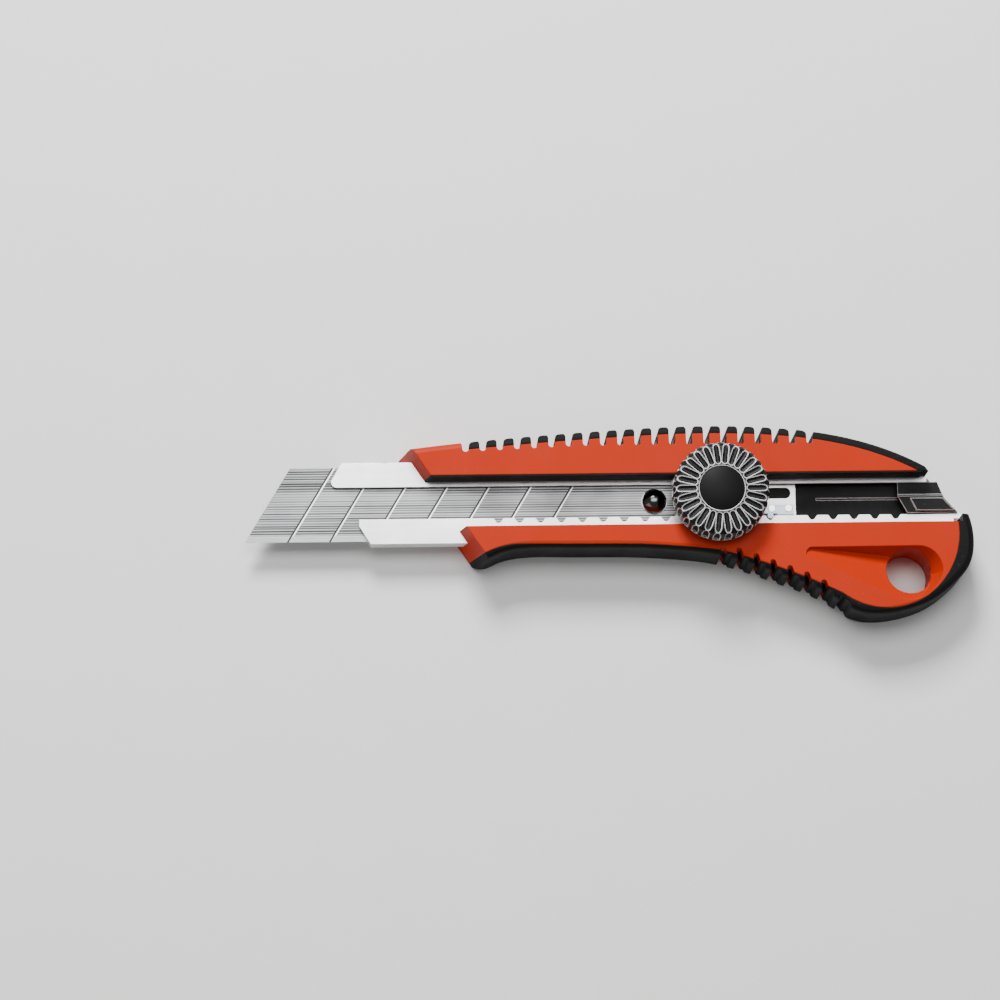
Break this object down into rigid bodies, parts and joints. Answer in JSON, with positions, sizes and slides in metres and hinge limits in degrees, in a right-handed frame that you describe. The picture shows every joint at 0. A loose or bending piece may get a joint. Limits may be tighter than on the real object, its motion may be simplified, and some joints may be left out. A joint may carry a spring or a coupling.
{
  "type": "snap-off knife",
  "caption": "Heavy-duty snap-off utility knife: orange handle with black ribbed grips, steel blade sleeve, scored sliding blade, fluted lock wheel, tail cap and hang hole.",
  "frame": {"origin": "on the handle's flat back, under the lock wheel's axis, which crosses the blade's centre line", "axes": "+X along the blade towards the butt, so the blade's tip points to -X; +Y across the blade from the cutting edge to the thumb side; +Z out of the handle's face, along the lock wheel's axis"},
  "size_m": [0.1731, 0.046, 0.0224],
  "materials": {
    "handle_orange": "satin moulded orange ABS",
    "grip_rubber": "matt black moulded elastomer",
    "black_plastic": "fine matt black",
    "wheel_black": "satin black",
    "sleeve_steel": "bright plated sheet",
    "blade_steel": "ground carbon steel",
    "fastener_steel": "plated",
    "spring_steel": "tempered",
    "insert_brass": "turned"
  },
  "bodies": {
    "handle": {"handle_body": "handle_orange", "upper_grip_strip": "grip_rubber", "lower_grip_strip": "grip_rubber", "slide_rail_strip": "black_plastic", "blade_sleeve": "sleeve_steel", "sleeve_rivets": "fastener_steel"},
    "slider": {"slider_plate": "sleeve_steel", "detent_spring": "spring_steel", "spring_rivets": "fastener_steel", "blade": "blade_steel", "blade_peg": "fastener_steel", "wheel_stud": "fastener_steel", "stop_ring": "spring_steel"},
    "clamp": {"clamp_plate": "fastener_steel", "spring_washer": "spring_steel"},
    "wheel": {"lock_wheel": "wheel_black", "wheel_insert": "insert_brass", "swivel_ring": "spring_steel", "wheel_hub_cap": "wheel_black"},
    "tail": {"tail_cap": "black_plastic"}
  },
  "joints": [
    {"name": "slider_slide", "type": "slide", "parent": "handle", "child": "slider", "axis": [-1, 0, 0], "range_m": [-0.03, 0.06], "deforming": ["detent_spring"]},
    {"name": "clamp_lift", "type": "slide", "parent": "slider", "child": "clamp", "axis": [0, 0, 1], "range_m": [0, 0.00071]},
    {"name": "wheel_spin", "type": "hinge", "parent": "clamp", "child": "wheel", "pos_m": [0, 0, 0.0183], "axis": [0, 0, 1], "range_deg": [0, 360]},
    {"name": "tail_cap_slide", "type": "slide", "parent": "handle", "child": "tail", "axis": [1, 0, 0], "range_m": [0, 0.05]}
  ],
  "couplings": [
    {"joint": "clamp_lift", "follows": "wheel_spin", "m_per_rad": 0.00011141}
  ]
}
